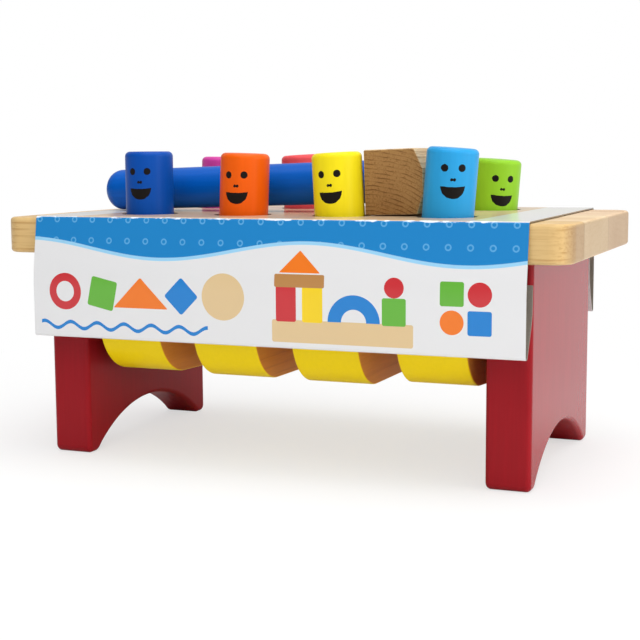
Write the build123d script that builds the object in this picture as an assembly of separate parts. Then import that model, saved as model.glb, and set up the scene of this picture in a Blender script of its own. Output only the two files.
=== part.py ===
from build123d import *
from math import asin, atan2, cos, degrees, hypot, radians, sin, tan
import os

# Toy pounding bench with eight captive pegs, four see-saws under them and a mallet.
# Sizes are in millimetres. The origin is on the floor, under the middle of the plank.
# X runs along the plank, Y from the front to the back, and Z up.

# Plank
plank_long = 286.0
plank_deep = 152.0
plank_thick = 17.5
plank_front_strip = 27.0   # the plank is glued from three strips, and the middle one has the rest
plank_back_strip = 66.5
plank_corner = 10.0        # corners as seen from above
plank_round = 1.8          # rounding along the top and bottom edges
bench_high = 120.5         # floor to the plank's top

# Legs, two boards across the bench
leg_thick = 21.0
leg_set_back = 12.0        # plank's front or back edge to the leg's
leg_inset = 19.0           # plank's end to the leg's outer face
leg_round = 2.5
arch_high = 20.2
foot_flat = 8.9            # length of a foot on the floor before rounding
foot_slope_long = 4.0      # the straight rise beside a foot, from which the arch springs
foot_slope_high = 3.4
foot_toe_round = 3.5
foot_heel_round = 5.0
foot_top_round = 12.0

# Glued dowels between the plank and each leg
dowel_radius = 4.0
dowel_in_plank = 10.5
dowel_in_leg = 19.0
dowel_pitch = 29.0
dowel_count = 4
dowel_chamfer = 0.8
dowel_slack = 0.1          # around a dowel
dowel_end_slack = 0.5      # beyond a dowel's end

# Axle of the see-saws, held in blind holes in the legs
axle_radius = 6.0
axle_in_leg = 12.0
axle_end_slack = 0.4
axle_glue_slack = 0.1
axle_chamfer = 0.8
axle_play = 0.08           # running clearance in a see-saw's bore

# Pegs
peg_radius = 12.0
peg_row_inset = 34.7       # plank's front or back edge to the middle of a row
peg_high = 30.4            # above the plank with the see-saws level
peg_top_round = 2.5
peg_hole_play = 1.3
peg_hole_chamfer = 1.0
ball_radius = 15.0         # wider lower end that keeps the peg in
ball_collar = 3.5          # straight part above the ball's middle
ball_collar_round = 2.0
ball_gap = 0.5             # between a ball and its see-saw

# Colours of the pegs from left to right, and how each stands in its loose hole: the degrees that it
# leans to the right, its place to the right of the hole's middle, and how much longer it was turned
front_pegs = {
    "blue": (0.0, 0.0, 0.5),
    "orange": (2.5, 0.0, 0.0),
    "yellow": (-3.0, -0.4, 0.3),
    "sky": (4.5, -0.25, -0.5),
}
back_pegs = {
    "magenta": (1.5, 0.2, 0.0),
    "red": (-3.0, -0.4, 0.0),
    "purple": (-1.5, -0.2, 0.0),
    "green": (4.5, -0.25, -0.5),
}

# See-saws
rocker_wide = 33.4
rocker_bottom = 40.5       # floor to the flat underside
rocker_thick = 27.0        # underside to the seats of the pegs
rocker_nose = 28.3         # big round at each lower end
rocker_flat_short = 4.3    # end of the flat underside to the middle of the row of pegs
rocker_end_room = 8.3      # leg's inner face to the nearest see-saw
rocker_boss = 12.0         # radius of the hump around the axle
rocker_boss_blend = 8.0
rocker_round = 0.8
rocker_tips = [1.8, 0.7, 0.3, 4.0]  # degrees that each one's front end stands up at rest

# Spacer tubes on the axle
spacer_radius = 9.5
spacer_play = 0.2          # around the axle
spacer_end_play = 0.3      # between a spacer and its neighbours
spacer_chamfer = 0.8

# Mallet
handle_radius = 10.7
handle_bare = 160.7        # length outside the head
handle_tip_round = 8.3
handle_in_head = 20.0
handle_slack = 0.1
handle_end_slack = 0.5
head_squeeze = 1.1         # thicker than the room between upright pegs, which it leans aside
head_aside = 0.25          # to the right of the middle between the third and fourth pegs
head_long = 76.0           # from one striking face to the other
head_tall = 30.7
head_bevel_in = 4.2        # upper bevel on the side away from the handle
head_low_bevel_in = 3.2
head_bevel_down = 9.6
head_round = 0.8
mallet_forward = 4.0       # the mallet lies in front of the middle
mallet_gap = 0.25          # above the card that it lies on

# Folded card around the plank
card_thick = 0.6
card_past_leg = 0.15       # the card's right end beyond the leg's outer face
card_short_of_leg = 0.7    # the card's left end short of the leg's outer face
card_skew = 2.3            # how much further right the sheet lies at the front than at the back
card_gap = 0.4             # between the card and the wood
card_fold_round = 1.1
card_fold_wide = 3.0       # across the fold at the bottom, between the card's middle lines
card_bend_round = 25.0
card_flare = 4.3           # how far the hanging panels bow out, because the sheet springs open
card_bow_drop = 28.0       # below the plank's top, where a panel has bowed out and hangs straight
card_bow_round = 60.0
card_front_drop = 58.2     # plank's top to the fold at the bottom of the front
card_back_drop = 54.5
card_hem_high = 31.0
card_hem_bend = 17.0       # height above the fold where the hem turns upright
card_hem_in = 8.0          # from the plank's edge in to the hem at that bend
card_hem_lean = 0.4        # its lean above the bend
card_hole_radius = 14.2

# Places that follow from the sizes above
plank_under = bench_high - plank_thick
plank_middle = bench_high - plank_thick / 2
leg_outer = plank_long / 2 - leg_inset
leg_inner = leg_outer - leg_thick
leg_middle = leg_outer - leg_thick / 2
leg_deep = plank_deep - 2 * leg_set_back
peg_row = plank_deep / 2 - peg_row_inset
rocker_seat = rocker_bottom + rocker_thick
rocker_flat = 2 * (peg_row - rocker_flat_short)
peg_pitch = (2 * (leg_inner - rocker_end_room) - rocker_wide) / (len(front_pegs) - 1)
# A ball whose middle is level with the axle keeps its gap while the see-saw tips
axle_high = rocker_seat + ball_gap + ball_radius
peg_columns = [peg_pitch * (n - (len(front_pegs) - 1) / 2) for n in range(len(front_pegs))]
card_top = bench_high + card_gap + card_thick
card_left = card_short_of_leg - leg_outer
card_right = leg_outer + card_past_leg
head_thick = peg_pitch - 2 * peg_radius + head_squeeze
head_place = (peg_columns[-2] + peg_columns[-1] - head_thick) / 2 + head_aside

os.makedirs("parts", exist_ok=True)


def write(name, shape):
    """Write one sub-part, and say how large it is."""
    export_step(shape, f"parts/{name}.step")
    size = shape.bounding_box().size
    print(f"{name:20s} {size.X:7.2f} {size.Y:7.2f} {size.Z:7.2f}  volume {shape.volume:10.1f}")


def across(profile, middle, width):
    """Extrude a profile drawn in Y and Z along X, centred on a place."""
    return extrude(Plane.YZ.offset(middle) * profile, width / 2, both=True)


def rod(radius, start, end, chamfer_size):
    """A round bar along X with chamfered ends."""
    bar = Pos((start + end) / 2, 0, 0) * Rot(Y=90) * Cylinder(radius, end - start)
    return chamfer(bar.edges().filter_by(GeomType.CIRCLE), chamfer_size)


def make_plank():
    """The glued top board, with the pegs' holes and blind holes for the dowels below."""
    outline = RectangleRounded(plank_long, plank_deep, plank_corner)
    board = Pos(0, 0, plank_under) * extrude(outline, plank_thick)
    rims = board.faces().filter_by(Axis.Z).edges()
    board = fillet(rims, plank_round)
    hole = Cylinder(peg_radius + peg_hole_play, plank_thick)
    wide = peg_radius + peg_hole_play + peg_hole_chamfer
    mouth = Cone(wide, wide - peg_hole_chamfer, peg_hole_chamfer)
    top_mouth = Pos(0, 0, (plank_thick - peg_hole_chamfer) / 2) * Rot(X=180) * mouth
    low_mouth = Pos(0, 0, (peg_hole_chamfer - plank_thick) / 2) * mouth
    hole = hole + top_mouth + low_mouth
    for x in peg_columns:
        for y in (-peg_row, peg_row):
            board -= Pos(x, y, plank_middle) * hole
    return board - dowel_holes(-1) - dowel_holes(1)


def make_strip(start, end):
    """The part of the plank between two glue lines."""
    middle = Pos(0, (start + end) / 2, plank_middle)
    return make_plank() & middle * Box(plank_long, end - start, plank_thick)


def dowel_places(side):
    """Middles of one leg's dowels on the joint between the leg and the plank."""
    rows = [dowel_pitch * (n - (dowel_count - 1) / 2) for n in range(dowel_count)]
    return [(side * leg_middle, y, plank_under) for y in rows]


def dowel_holes(side):
    """Blind holes for one leg's dowels, up into the plank and down into the leg."""
    long = dowel_in_plank + dowel_in_leg + 2 * dowel_end_slack
    hole = Cylinder(dowel_radius + dowel_slack, long)
    middle = (dowel_in_plank - dowel_in_leg) / 2
    return Sketch() + [Pos(x, y, z + middle) * hole for x, y, z in dowel_places(side)]


def make_dowels(side):
    """The glued dowels of one leg, as one group."""
    dowel = Cylinder(dowel_radius, dowel_in_plank + dowel_in_leg)
    dowel = chamfer(dowel.edges().filter_by(GeomType.CIRCLE), dowel_chamfer)
    middle = (dowel_in_plank - dowel_in_leg) / 2
    return Compound([Pos(x, y, z + middle) * dowel for x, y, z in dowel_places(side)])


def make_leg(side):
    """One leg board: an arch between two feet, with blind holes for the axle and the dowels."""
    edge = leg_deep / 2
    heel = edge - foot_flat
    spring = heel - foot_slope_long
    sides = Polyline(
        (-spring, foot_slope_high),
        (-heel, 0),
        (-edge, 0),
        (-edge, plank_under),
        (edge, plank_under),
        (edge, 0),
        (heel, 0),
        (spring, foot_slope_high),
    )
    arch = ThreePointArc((-spring, foot_slope_high), (0, arch_high), (spring, foot_slope_high))
    profile = make_face(sides + arch)
    for place, radius in ((edge, foot_toe_round), (heel, foot_heel_round), (spring, foot_top_round)):
        high = foot_slope_high if place == spring else 0
        for y in (-place, place):
            corner = profile.vertices().sort_by_distance((y, high, 0))[0]
            profile = fillet(corner, radius)
    board = across(profile, side * leg_middle, leg_thick)
    rims = board.faces().filter_by(Axis.X).edges()
    rims = rims.filter_by(lambda rim: rim.center().Z < plank_under - leg_round)
    board = fillet(rims, leg_round)
    start = side * (leg_inner - leg_round)
    end = side * (leg_inner + axle_in_leg)
    socket = Pos((start + end) / 2, 0, axle_high) * Rot(Y=90)
    socket = socket * Cylinder(axle_radius + axle_glue_slack, abs(end - start))
    return board - socket - dowel_holes(side)


def make_axle():
    """The round bar that carries the four see-saws."""
    end = leg_inner + axle_in_leg - axle_end_slack
    return Pos(0, 0, axle_high) * rod(axle_radius, -end, end, axle_chamfer)


def make_spacer(start, end):
    """A tube on the axle that keeps two see-saws, or a see-saw and a leg, apart."""
    tube = rod(spacer_radius, start + spacer_end_play, end - spacer_end_play, spacer_chamfer)
    bore = Pos((start + end) / 2, 0, 0) * Rot(Y=90) * Cylinder(axle_radius + spacer_play, end - start)
    return Pos(0, 0, axle_high) * (tube - bore)


def rocker_profile():
    """Side view of a level see-saw around its axle, with Y across and Z up."""
    seat = rocker_seat - axle_high
    bottom = rocker_bottom - axle_high
    flat = rocker_flat / 2
    nose_high = bottom + rocker_nose
    slope = asin((nose_high - seat) / rocker_nose)
    lip = flat + rocker_nose * cos(slope)
    middle_angle = (slope + radians(90)) / 2
    bulge_in = flat + rocker_nose * cos(middle_angle)
    bulge_down = nose_high - rocker_nose * sin(middle_angle)
    right = ThreePointArc((flat, bottom), (bulge_in, bulge_down), (lip, seat))
    left = ThreePointArc((-lip, seat), (-bulge_in, bulge_down), (-flat, bottom))
    body = make_face(Line((-flat, bottom), (flat, bottom)) + right + Line((lip, seat), (-lip, seat)) + left)
    hump = Pos(0, seat / 2) * Rectangle(2 * rocker_boss, -seat) + Circle(rocker_boss)
    profile = body + hump
    for y in (-rocker_boss, rocker_boss):
        corner = profile.vertices().sort_by_distance((y, seat, 0))[0]
        profile = fillet(corner, rocker_boss_blend)
    return profile


def make_rocker(place, tip):
    """One see-saw on the axle, with its front end a little up as it lies at rest."""
    board = across(rocker_profile(), 0, rocker_wide)
    rims = board.faces().filter_by(Axis.X).edges()
    board = fillet(rims, rocker_round)
    board -= Rot(Y=90) * Cylinder(axle_radius + axle_play, rocker_wide)
    return Pos(place, 0, axle_high) * Rot(X=-tip) * board


def make_peg(place, row, lean, longer, tip):
    """A turned peg: a round shank with a ball below that can't pass its hole."""
    top = bench_high + peg_high + longer - plank_middle
    ball = axle_high - plank_middle
    collar = ball + ball_collar
    shank = Pos(0, 0, (top + ball) / 2) * Cylinder(peg_radius, top - ball)
    shank = fillet(shank.edges().group_by(Axis.Z)[-1], peg_top_round)
    ring = Pos(0, 0, (collar + ball) / 2) * Cylinder(ball_radius, ball_collar)
    ring = fillet(ring.edges().group_by(Axis.Z)[-1], ball_collar_round)
    low_half = (Align.CENTER, Align.CENTER, Align.MAX)
    dome = Pos(0, 0, ball) * Sphere(ball_radius, arc_size1=-90, arc_size2=0, align=low_half)
    rise = -row * tan(radians(tip))
    return Pos(place, row, plank_middle) * Rot(Y=lean) * Pos(0, 0, rise) * (shank + ring + dome)


def mallet_place():
    """Where the mallet lies: on the head's near edge and on the handle's round tip."""
    reach = handle_bare - handle_tip_round
    drop = head_tall / 2 - (handle_radius - handle_tip_round)
    droop = atan2(drop, reach) - asin(handle_tip_round / hypot(drop, reach))
    high = card_top + mallet_gap + head_tall / 2 * cos(droop)
    return Pos(head_place, -mallet_forward, high) * Rot(Y=-degrees(droop))


def make_handle():
    """The mallet's round handle, with its axis along X and the head's face at zero."""
    inner = handle_in_head - handle_end_slack
    long = handle_bare + inner
    bar = Pos((inner - handle_bare) / 2, 0, 0) * Rot(Y=90) * Cylinder(handle_radius, long)
    bar = fillet(bar.edges().filter_by(GeomType.CIRCLE).sort_by(Axis.X)[0], handle_tip_round)
    return mallet_place() * bar


def make_head():
    """The mallet's head: a block across the handle, bevelled on the far side, with a socket."""
    half = head_tall / 2
    profile = Polyline(
        (0, -half),
        (head_thick - head_low_bevel_in, -half),
        (head_thick, head_bevel_down - half),
        (head_thick, half - head_bevel_down),
        (head_thick - head_bevel_in, half),
        (0, half),
        close=True,
    )
    block = extrude(Plane.XZ * make_face(profile), head_long / 2, both=True)
    block = fillet(block.edges(), head_round)
    socket = Pos(handle_in_head / 2, 0, 0) * Rot(Y=90)
    socket = socket * Cylinder(handle_radius + handle_slack, handle_in_head)
    return mallet_place() * (block - socket)


def card_side(side, drop):
    """Middle line of the card on one side, from the free edge of its hem up to the plank's edge."""
    wall = plank_deep / 2 + card_gap + card_thick / 2
    low = wall + card_flare
    fold = bench_high - drop + card_thick / 2
    bend = wall - card_hem_in
    free = bend - card_hem_lean
    return [
        (side * free, fold + card_hem_high),
        (side * bend, fold + card_hem_bend),
        (side * (low - card_fold_wide), fold),
        (side * low, fold),
        (side * low, bench_high - card_bow_drop),
        (side * wall, bench_high + card_gap + card_thick / 2),
    ]


def make_card():
    """One sheet folded over the plank, with a hem turned back behind each hanging panel."""
    front = card_side(-1, card_front_drop)
    back = card_side(1, card_back_drop)
    points = front + back[::-1]
    side_rounds = [card_bend_round, card_fold_round, card_fold_round, card_bow_round, card_fold_round]
    path = FilletPolyline(*points, radius=side_rounds + side_rounds[::-1])
    strip = Plane.XY * trace(path, card_thick)
    sheet = across(strip, (card_left + card_right) / 2, card_right - card_left + 2 * card_skew)
    edge = plank_deep / 2 + card_hem_in
    askew = card_skew / 2
    outline = Polyline(
        (card_left + askew, -edge),
        (card_right + askew, -edge),
        (card_right - askew, edge),
        (card_left - askew, edge),
        close=True,
    )
    sheet &= extrude(make_face(outline), card_top + card_thick)
    hole = Cylinder(card_hole_radius, plank_thick)
    for x in peg_columns:
        for y in (-peg_row, peg_row):
            sheet -= Pos(x, y, card_top) * hole
    return sheet


back_edge = plank_deep / 2
glue_lines = [-back_edge, plank_front_strip - back_edge, back_edge - plank_back_strip, back_edge]
for name, start, end in zip(("front", "middle", "back"), glue_lines, glue_lines[1:]):
    write(f"plank_{name}_strip", make_strip(start, end))
for name, side in (("left", -1), ("right", 1)):
    write(f"{name}_leg", make_leg(side))
    write(f"{name}_leg_dowels", make_dowels(side))
write("axle", make_axle())

for number, (place, tip) in enumerate(zip(peg_columns, rocker_tips), 1):
    write(f"rocker_{number}", make_rocker(place, tip))
half_rocker = rocker_wide / 2
for number, (start, end) in enumerate(zip(peg_columns, peg_columns[1:]), 1):
    write(f"spacer_{number}", make_spacer(start + half_rocker, end - half_rocker))
write("left_end_spacer", make_spacer(-leg_inner, peg_columns[0] - half_rocker))
write("right_end_spacer", make_spacer(peg_columns[-1] + half_rocker, leg_inner))

for row_name, row, pegs in (("front", -peg_row, front_pegs), ("back", peg_row, back_pegs)):
    for place, tip, (colour, (lean, aside, longer)) in zip(peg_columns, rocker_tips, pegs.items()):
        write(f"{row_name}_peg_{colour}", make_peg(place + aside, row, lean, longer, tip))

write("mallet_handle", make_handle())
write("mallet_head", make_head())
write("card_sleeve", make_card())
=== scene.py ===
# %% [markdown]
# # A toy pounding bench
#
# The object is a small wooden bench. Eight captive pegs stand in two rows of holes in its plank, and each
# front peg shares a see-saw with the peg behind it. A mallet lies between the rows. A folded card is
# wrapped round the plank, as the toy is sold.
#
# All the shapes come from the CAD model, which is loaded as a fixed frame. They are turned and sawn wood
# and one folded sheet, so the solids are already right, and the work here is in the finishes, the lamps and
# the camera.

# %% Load the frame
from math import cos, pi, radians, sin

import bpy
from mathutils import Matrix, Vector


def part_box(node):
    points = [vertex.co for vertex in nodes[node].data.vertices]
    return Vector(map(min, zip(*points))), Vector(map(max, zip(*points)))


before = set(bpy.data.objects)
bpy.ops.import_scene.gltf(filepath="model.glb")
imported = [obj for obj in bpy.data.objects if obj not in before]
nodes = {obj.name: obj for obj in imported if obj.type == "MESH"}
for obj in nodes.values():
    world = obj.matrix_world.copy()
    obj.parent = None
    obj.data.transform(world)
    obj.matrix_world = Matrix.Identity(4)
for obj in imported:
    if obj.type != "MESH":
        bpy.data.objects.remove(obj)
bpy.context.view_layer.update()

MM = 0.001

# %% [markdown]
# ## Sizes that the finishes need
#
# A print or a face has to sit on its piece, so the places of the pegs and the sides of the card are read
# from the boxes of the CAD nodes. That way they follow the frame if it changes.

# %% Read the pieces' places
CREASE_OUT = 1.0 * MM       # from the plank's edge to the outer face of the sheet that is creased over it
BOW_DEEP = 28.0 * MM        # from the plank's top down to where the hanging panels run straight
PEG_RADIUS = 12.0 * MM

pegs = {name.split("_")[-1]: name for name in sorted(nodes) if "_peg_" in name}
strips = {part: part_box(f"plank_{part}_strip") for part in ("front", "middle", "back")}
plank_middle = (strips["middle"][0].z + strips["middle"][1].z) / 2
glue_lines = [strips["middle"][0].y, strips["middle"][1].y]
card_low, card_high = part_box("card_sleeve")
crease_y = strips["back"][1].y + CREASE_OUT
bow_z = strips["back"][1].z - BOW_DEEP
head_low, head_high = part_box("mallet_head")
print("pegs:", pegs)
print("glue lines in mm:", [round(v / MM, 1) for v in glue_lines])
print("card in mm:", [round(v / MM, 1) for v in (*card_low, *card_high)])
print("mallet's head in mm:", [round(v / MM, 1) for v in (*head_low, *head_high)])

# %% [markdown]
# ## The camera
#
# The view was worked out from the straight edges of the plank and the legs. The camera stands in front of
# the bench, to the right, and hardly higher than the tops of the pegs, so the plank's top is seen at a very
# flat angle. The object sits a little off the middle of the picture, which a small lens shift gives.

# %% Place the camera
PICTURE_WIDE = 640.0
SENSOR_WIDE = 36.0
focal_pixels = 1340.15
middle_pixel = (300.63, 321.24)
camera_place = Vector((257.845, -638.258, 150.530)) * MM
yaw, pitch, roll = radians(23.010), radians(7.089), radians(-0.461)

camera_data = bpy.data.cameras.new("camera")
camera_data.sensor_width = SENSOR_WIDE
camera_data.lens = focal_pixels * SENSOR_WIDE / PICTURE_WIDE
camera_data.shift_x = 0.5 - middle_pixel[0] / PICTURE_WIDE
camera_data.shift_y = middle_pixel[1] / PICTURE_WIDE - 0.5
camera_data.clip_start, camera_data.clip_end = 0.01, 50.0
camera = bpy.data.objects.new("camera", camera_data)
bpy.context.scene.collection.objects.link(camera)
aim = Matrix.Rotation(yaw, 4, "Z") @ Matrix.Rotation(pi / 2 - pitch, 4, "X") @ Matrix.Rotation(roll, 4, "Z")
camera.matrix_world = Matrix.Translation(camera_place) @ aim
bpy.context.scene.camera = camera
print("lens in mm:", round(camera_data.lens, 2), "shift:", round(camera_data.shift_x, 4))

# %% [markdown]
# ## Helpers for finishes
#
# Colours are written as sRGB hex values, as a paint chart gives them, and the renderer works in linear
# light, so one function turns the first into the second. Every node of every finish is added by one more
# function, which takes the node's settings and its links together.

# %% Turn a hex colour to linear
def paint(hex_value):
    """A linear colour with alpha from six sRGB hex digits."""
    shares = [int(hex_value[n:n + 2], 16) / 255 for n in (0, 2, 4)]
    linear = [s / 12.92 if s <= 0.04045 else ((s + 0.055) / 1.055) ** 2.4 for s in shares]
    return (*linear, 1.0)


print("mid grey:", round(paint("808080")[0], 3))

# %% [markdown]
# Sockets are named where their names differ and numbered where they don't. A Math node has its terms in 0,
# 1 and 2. A colour Mix has its share in 0, its two colours in 6 and 7, and the outcome in output 2.

# %% Add one node
def add_node(tree, kind, settings=None, links=None):
    """Add a node. A setting goes to a socket, by name or number, or to a property. A link goes to a socket
    from an output, or from a node, which means its first output."""
    node = tree.nodes.new("ShaderNode" + kind)
    for key, value in (settings or {}).items():
        if isinstance(key, str) and hasattr(node, key):
            setattr(node, key, value)
        else:
            node.inputs[key].default_value = value
    for key, start in (links or {}).items():
        tree.links.new(start.outputs[0] if isinstance(start, bpy.types.Node) else start, node.inputs[key])
    return node


# %% Start a finish and put it on a piece
def new_finish(name):
    """A material with an empty node tree and its output node."""
    material = bpy.data.materials.new(name)
    material.use_nodes = True
    material.node_tree.nodes.clear()
    return material, material.node_tree, material.node_tree.nodes.new("ShaderNodeOutputMaterial")


def dress(node_name, material):
    """Give a CAD node one finish."""
    mesh = nodes[node_name].data
    mesh.materials.clear()
    mesh.materials.append(material)


def wearing(word):
    """The names of the pieces whose finish has a word in its name."""
    return [name for name, piece in nodes.items()
            if piece.data.materials and word in piece.data.materials[0].name]


print("pieces to dress:", len(nodes))

# %% [markdown]
# ## The wood figure
#
# The plank, the mallet's head, the sides of the see-saws and the small inner parts are beech or a wood much
# like it. A log is a stack of yearly rings, and a board is a slice of it. So one solid pattern is made:
# rings round a pith line that runs along the grain outside the board. On the long faces the rings show as
# fine wavy lines, and on the cut ends as arcs, and the lines meet at the edges as they do in real wood. A
# picture-like pattern on each face could not do that.
#
# The rings are about 3 mm apart, which is what the plank's front edge shows. A slow noise bends them. A
# finer one gives the pores, which are too fine to show here at their real 0.1 mm, so they are drawn about
# 0.5 mm wide. Both are stretched along the grain, which a mapping's scale below 1 does. A mapping adds its
# location, so a pith is given as the shift, in metres, that brings it onto the pattern's axis.

# %% Make the wood figure
RING_PITCH = 3.2 * MM
BEND_SIZE, BEND_STRETCH = 22 * MM, 0.12     # a slow bend across the grain, and its scale along it
BEND_REACH = 5 * MM                         # how far a bend can push a ring
PORE_SPACING, PORE_STRETCH = 0.9 * MM, 0.06
WAVE_UNIT = 20.0                            # Blender's wave texture counts its rings in twentieths
FULL_TURN = 2 * pi


def wood_figure(tree, grain_turn, pith, ring_pitch=RING_PITCH):
    """Grain coordinates, a ring pattern and a pore pattern from 0 to 1, with the grain turned to X."""
    place = add_node(tree, "TexCoord")
    field = add_node(tree, "Mapping", {"Rotation": grain_turn, "Location": pith},
                     {0: place.outputs["Object"]}).outputs[0]
    slow = add_node(tree, "Mapping", {"Scale": (BEND_STRETCH, 1.0, 1.0)}, {0: field})
    bend = add_node(tree, "TexNoise", {"Scale": 1 / BEND_SIZE, "Detail": 3.0}, {0: slow})
    push = add_node(tree, "VectorMath", {"operation": "MULTIPLY_ADD", 1: (0.0, BEND_REACH, BEND_REACH),
                                         2: (0.0, -BEND_REACH / 2, -BEND_REACH / 2)},
                    {0: bend.outputs["Color"]})
    bent = add_node(tree, "VectorMath", {"operation": "ADD"}, {0: field, 1: push})
    rings = add_node(tree, "TexWave", {"wave_type": "RINGS", "rings_direction": "X", "wave_profile": "SAW",
                                       "Scale": FULL_TURN / (WAVE_UNIT * ring_pitch)}, {0: bent})
    fine = add_node(tree, "Mapping", {"Scale": (PORE_STRETCH, 1.0, 1.0)}, {0: field})
    pores = add_node(tree, "TexNoise", {"Scale": 1 / PORE_SPACING, "Detail": 2.0}, {0: fine})
    return field, rings.outputs["Fac"], pores.outputs["Fac"], place


print("rings in mm:", RING_PITCH / MM, "pores in mm:", PORE_SPACING / MM)

# %% [markdown]
# ## Clear lacquer over beech
#
# The bare pieces are beech under a thin sprayed lacquer. To the eye that is a warm pale wood with a satin
# sheen, darker on a cut end, because end grain soaks the lacquer up. Three patterns are laid together: the
# dark late wood at the end of each ring, which breaks off here and there, the pores, and a broad
# cloudiness. A picture of wood would be quicker, but it would repeat from strip to strip and wouldn't turn
# the corner to the ends.

# %% Draw the dark marks of the wood
LATE_FROM, LATE_TO, LATE_DARK = 0.62, 0.98, 0.85    # where in a ring's width it darkens, and how far
GAP_SIZE, GAP_STRETCH = 5 * MM, 0.35                # the places where a ring's dark line breaks off
GAP_FROM, GAP_TO, GAP_LEAVES = 0.38, 0.62, 0.15     # a gap's edges in the noise and what it leaves
PORE_FROM, PORE_TO, PORE_DARK = 0.50, 0.72, 0.4
CLOUD_SIZE = 40 * MM
CLOUD_FROM, CLOUD_TO, CLOUD_DARK = 0.35, 0.65, 0.35


def wood_marks(tree, field, rings, pores, is_end, end_lines):
    """How dark the wood is, 0 to 1. End lines says how much of the rings is left on a cut end."""
    late = add_node(tree, "MapRange", {"From Min": LATE_FROM, "From Max": LATE_TO, "To Max": LATE_DARK},
                    {0: rings})
    stretch = add_node(tree, "Mapping", {"Scale": (GAP_STRETCH, 1.0, 1.0)}, {0: field})
    gaps = add_node(tree, "TexNoise", {"Scale": 1 / GAP_SIZE, "Detail": 2.0}, {0: stretch})
    kept = add_node(tree, "MapRange", {"From Min": GAP_FROM, "From Max": GAP_TO, "To Min": GAP_LEAVES},
                    {0: gaps.outputs["Fac"]})
    late = add_node(tree, "Math", {"operation": "MULTIPLY"}, {0: late, 1: kept})
    calm = add_node(tree, "MapRange", {"To Min": 1.0, "To Max": end_lines}, {0: is_end})
    late = add_node(tree, "Math", {"operation": "MULTIPLY"}, {0: late, 1: calm})
    pore = add_node(tree, "MapRange", {"From Min": PORE_FROM, "From Max": PORE_TO, "To Max": PORE_DARK},
                    {0: pores})
    marks = add_node(tree, "Math", {"operation": "MAXIMUM"}, {0: late, 1: pore})
    broad = add_node(tree, "TexNoise", {"Scale": 1 / CLOUD_SIZE, "Detail": 2.0}, {0: field})
    cloud = add_node(tree, "MapRange", {"From Min": CLOUD_FROM, "From Max": CLOUD_TO,
                                        "To Max": CLOUD_DARK}, {0: broad.outputs["Fac"]})
    return add_node(tree, "Math", {"operation": "ADD", "use_clamp": True}, {0: marks, 1: cloud}).outputs[0]


print("gaps in the rings' lines in mm:", GAP_SIZE / MM)

# %% Make a lacquered wood finish
GLUE_NARROW, GLUE_WIDE = 0.15 * MM, 0.5 * MM    # where a glue line is darkest and where it ends
GLUE_SHADE = 0.72
END_FROM, END_TO = 0.6, 0.95                    # how squarely a cut end looks along the grain
LACQUER_ROUGH, LACQUER_IOR, LACQUER_SHINE = 0.42, 1.47, 0.3
LACQUER_BUMP, LACQUER_HIGH = 0.25, 0.05 * MM    # the marks stand up a little under the thin coat


def lacquered_wood(name, light, dark, grain_turn, pith, end_axis, end_colour, ring_pitch=RING_PITCH,
                   end_lines=0.35, glued_at=()):
    """Beech under clear lacquer. The end axis is the one that the grain runs along."""
    material, tree, output = new_finish(name)
    field, rings, pores, place = wood_figure(tree, grain_turn, pith, ring_pitch)
    facing = add_node(tree, "SeparateXYZ", {}, {0: place.outputs["Normal"]})
    side = add_node(tree, "Math", {"operation": "ABSOLUTE"}, {0: facing.outputs[end_axis]})
    is_end = add_node(tree, "MapRange", {"From Min": END_FROM, "From Max": END_TO}, {0: side}).outputs[0]
    marks = wood_marks(tree, field, rings, pores, is_end, end_lines)
    colour = add_node(tree, "Mix", {"data_type": "RGBA", 6: paint(light), 7: paint(dark)},
                      {0: marks}).outputs[2]
    at = add_node(tree, "SeparateXYZ", {}, {0: place.outputs["Object"]})
    for y in glued_at:
        off = add_node(tree, "Math", {"operation": "SUBTRACT", 1: y}, {0: at.outputs["Y"]})
        off = add_node(tree, "Math", {"operation": "ABSOLUTE"}, {0: off})
        seam = add_node(tree, "MapRange", {"From Min": GLUE_NARROW, "From Max": GLUE_WIDE,
                                           "To Min": GLUE_SHADE}, {0: off})
        colour = add_node(tree, "VectorMath", {"operation": "SCALE"}, {0: colour, "Scale": seam}).outputs[0]
    soaked = add_node(tree, "Mix", {"data_type": "RGBA", "blend_type": "MULTIPLY", 7: paint(end_colour)},
                      {0: is_end, 6: colour})
    raised = add_node(tree, "Bump", {"Strength": LACQUER_BUMP, "Distance": LACQUER_HIGH}, {"Height": marks})
    lacquer = add_node(tree, "BsdfPrincipled", {"Roughness": LACQUER_ROUGH, "IOR": LACQUER_IOR,
                                                "Specular IOR Level": LACQUER_SHINE},
                       {"Base Color": soaked.outputs[2], "Normal": raised})
    tree.links.new(lacquer.outputs[0], output.inputs[0])
    return material


print("lacquer's IOR:", LACQUER_IOR)

# %% [markdown]
# ## The plank and the bare wooden parts
#
# The plank is glued from three strips, as its right end shows. Each is a CAD node with its own cut of the
# log and its own tone: the front one is the most golden and the back one is a little pink. A thin dark glue
# line parts them. The grain runs along the bench. The mallet's head is sawn with its grain from one
# striking face to the other, so the faces that meet a peg are end grain and show the rings.

# %% Dress the plank
ALONG_X = (0.0, 0.0, 0.0)
ALONG_Y = (0.0, 0.0, -pi / 2)
strip_looks = {
    # strip: light colour, dark colour, shift of the pith, tint of the cut end
    "front": ("E3C388", "C1965A", (0.0, 0.068, -0.010), "CFCBD8"),
    "middle": ("E8CEA6", "D0AC7C", (0.3, 0.040, -0.250), "D6D3CF"),
    "back": ("E3C5A0", "C8A078", (0.7, -0.060, -0.270), "D2CEC8"),
}
for part, (light, dark, pith, end_tint) in strip_looks.items():
    strip_wood = lacquered_wood(f"beech_strip_{part}", light, dark, ALONG_X, pith, "X", end_tint,
                                glued_at=glue_lines)
    dress(f"plank_{part}_strip", strip_wood)
print("strips:", wearing("beech_strip"))

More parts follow.
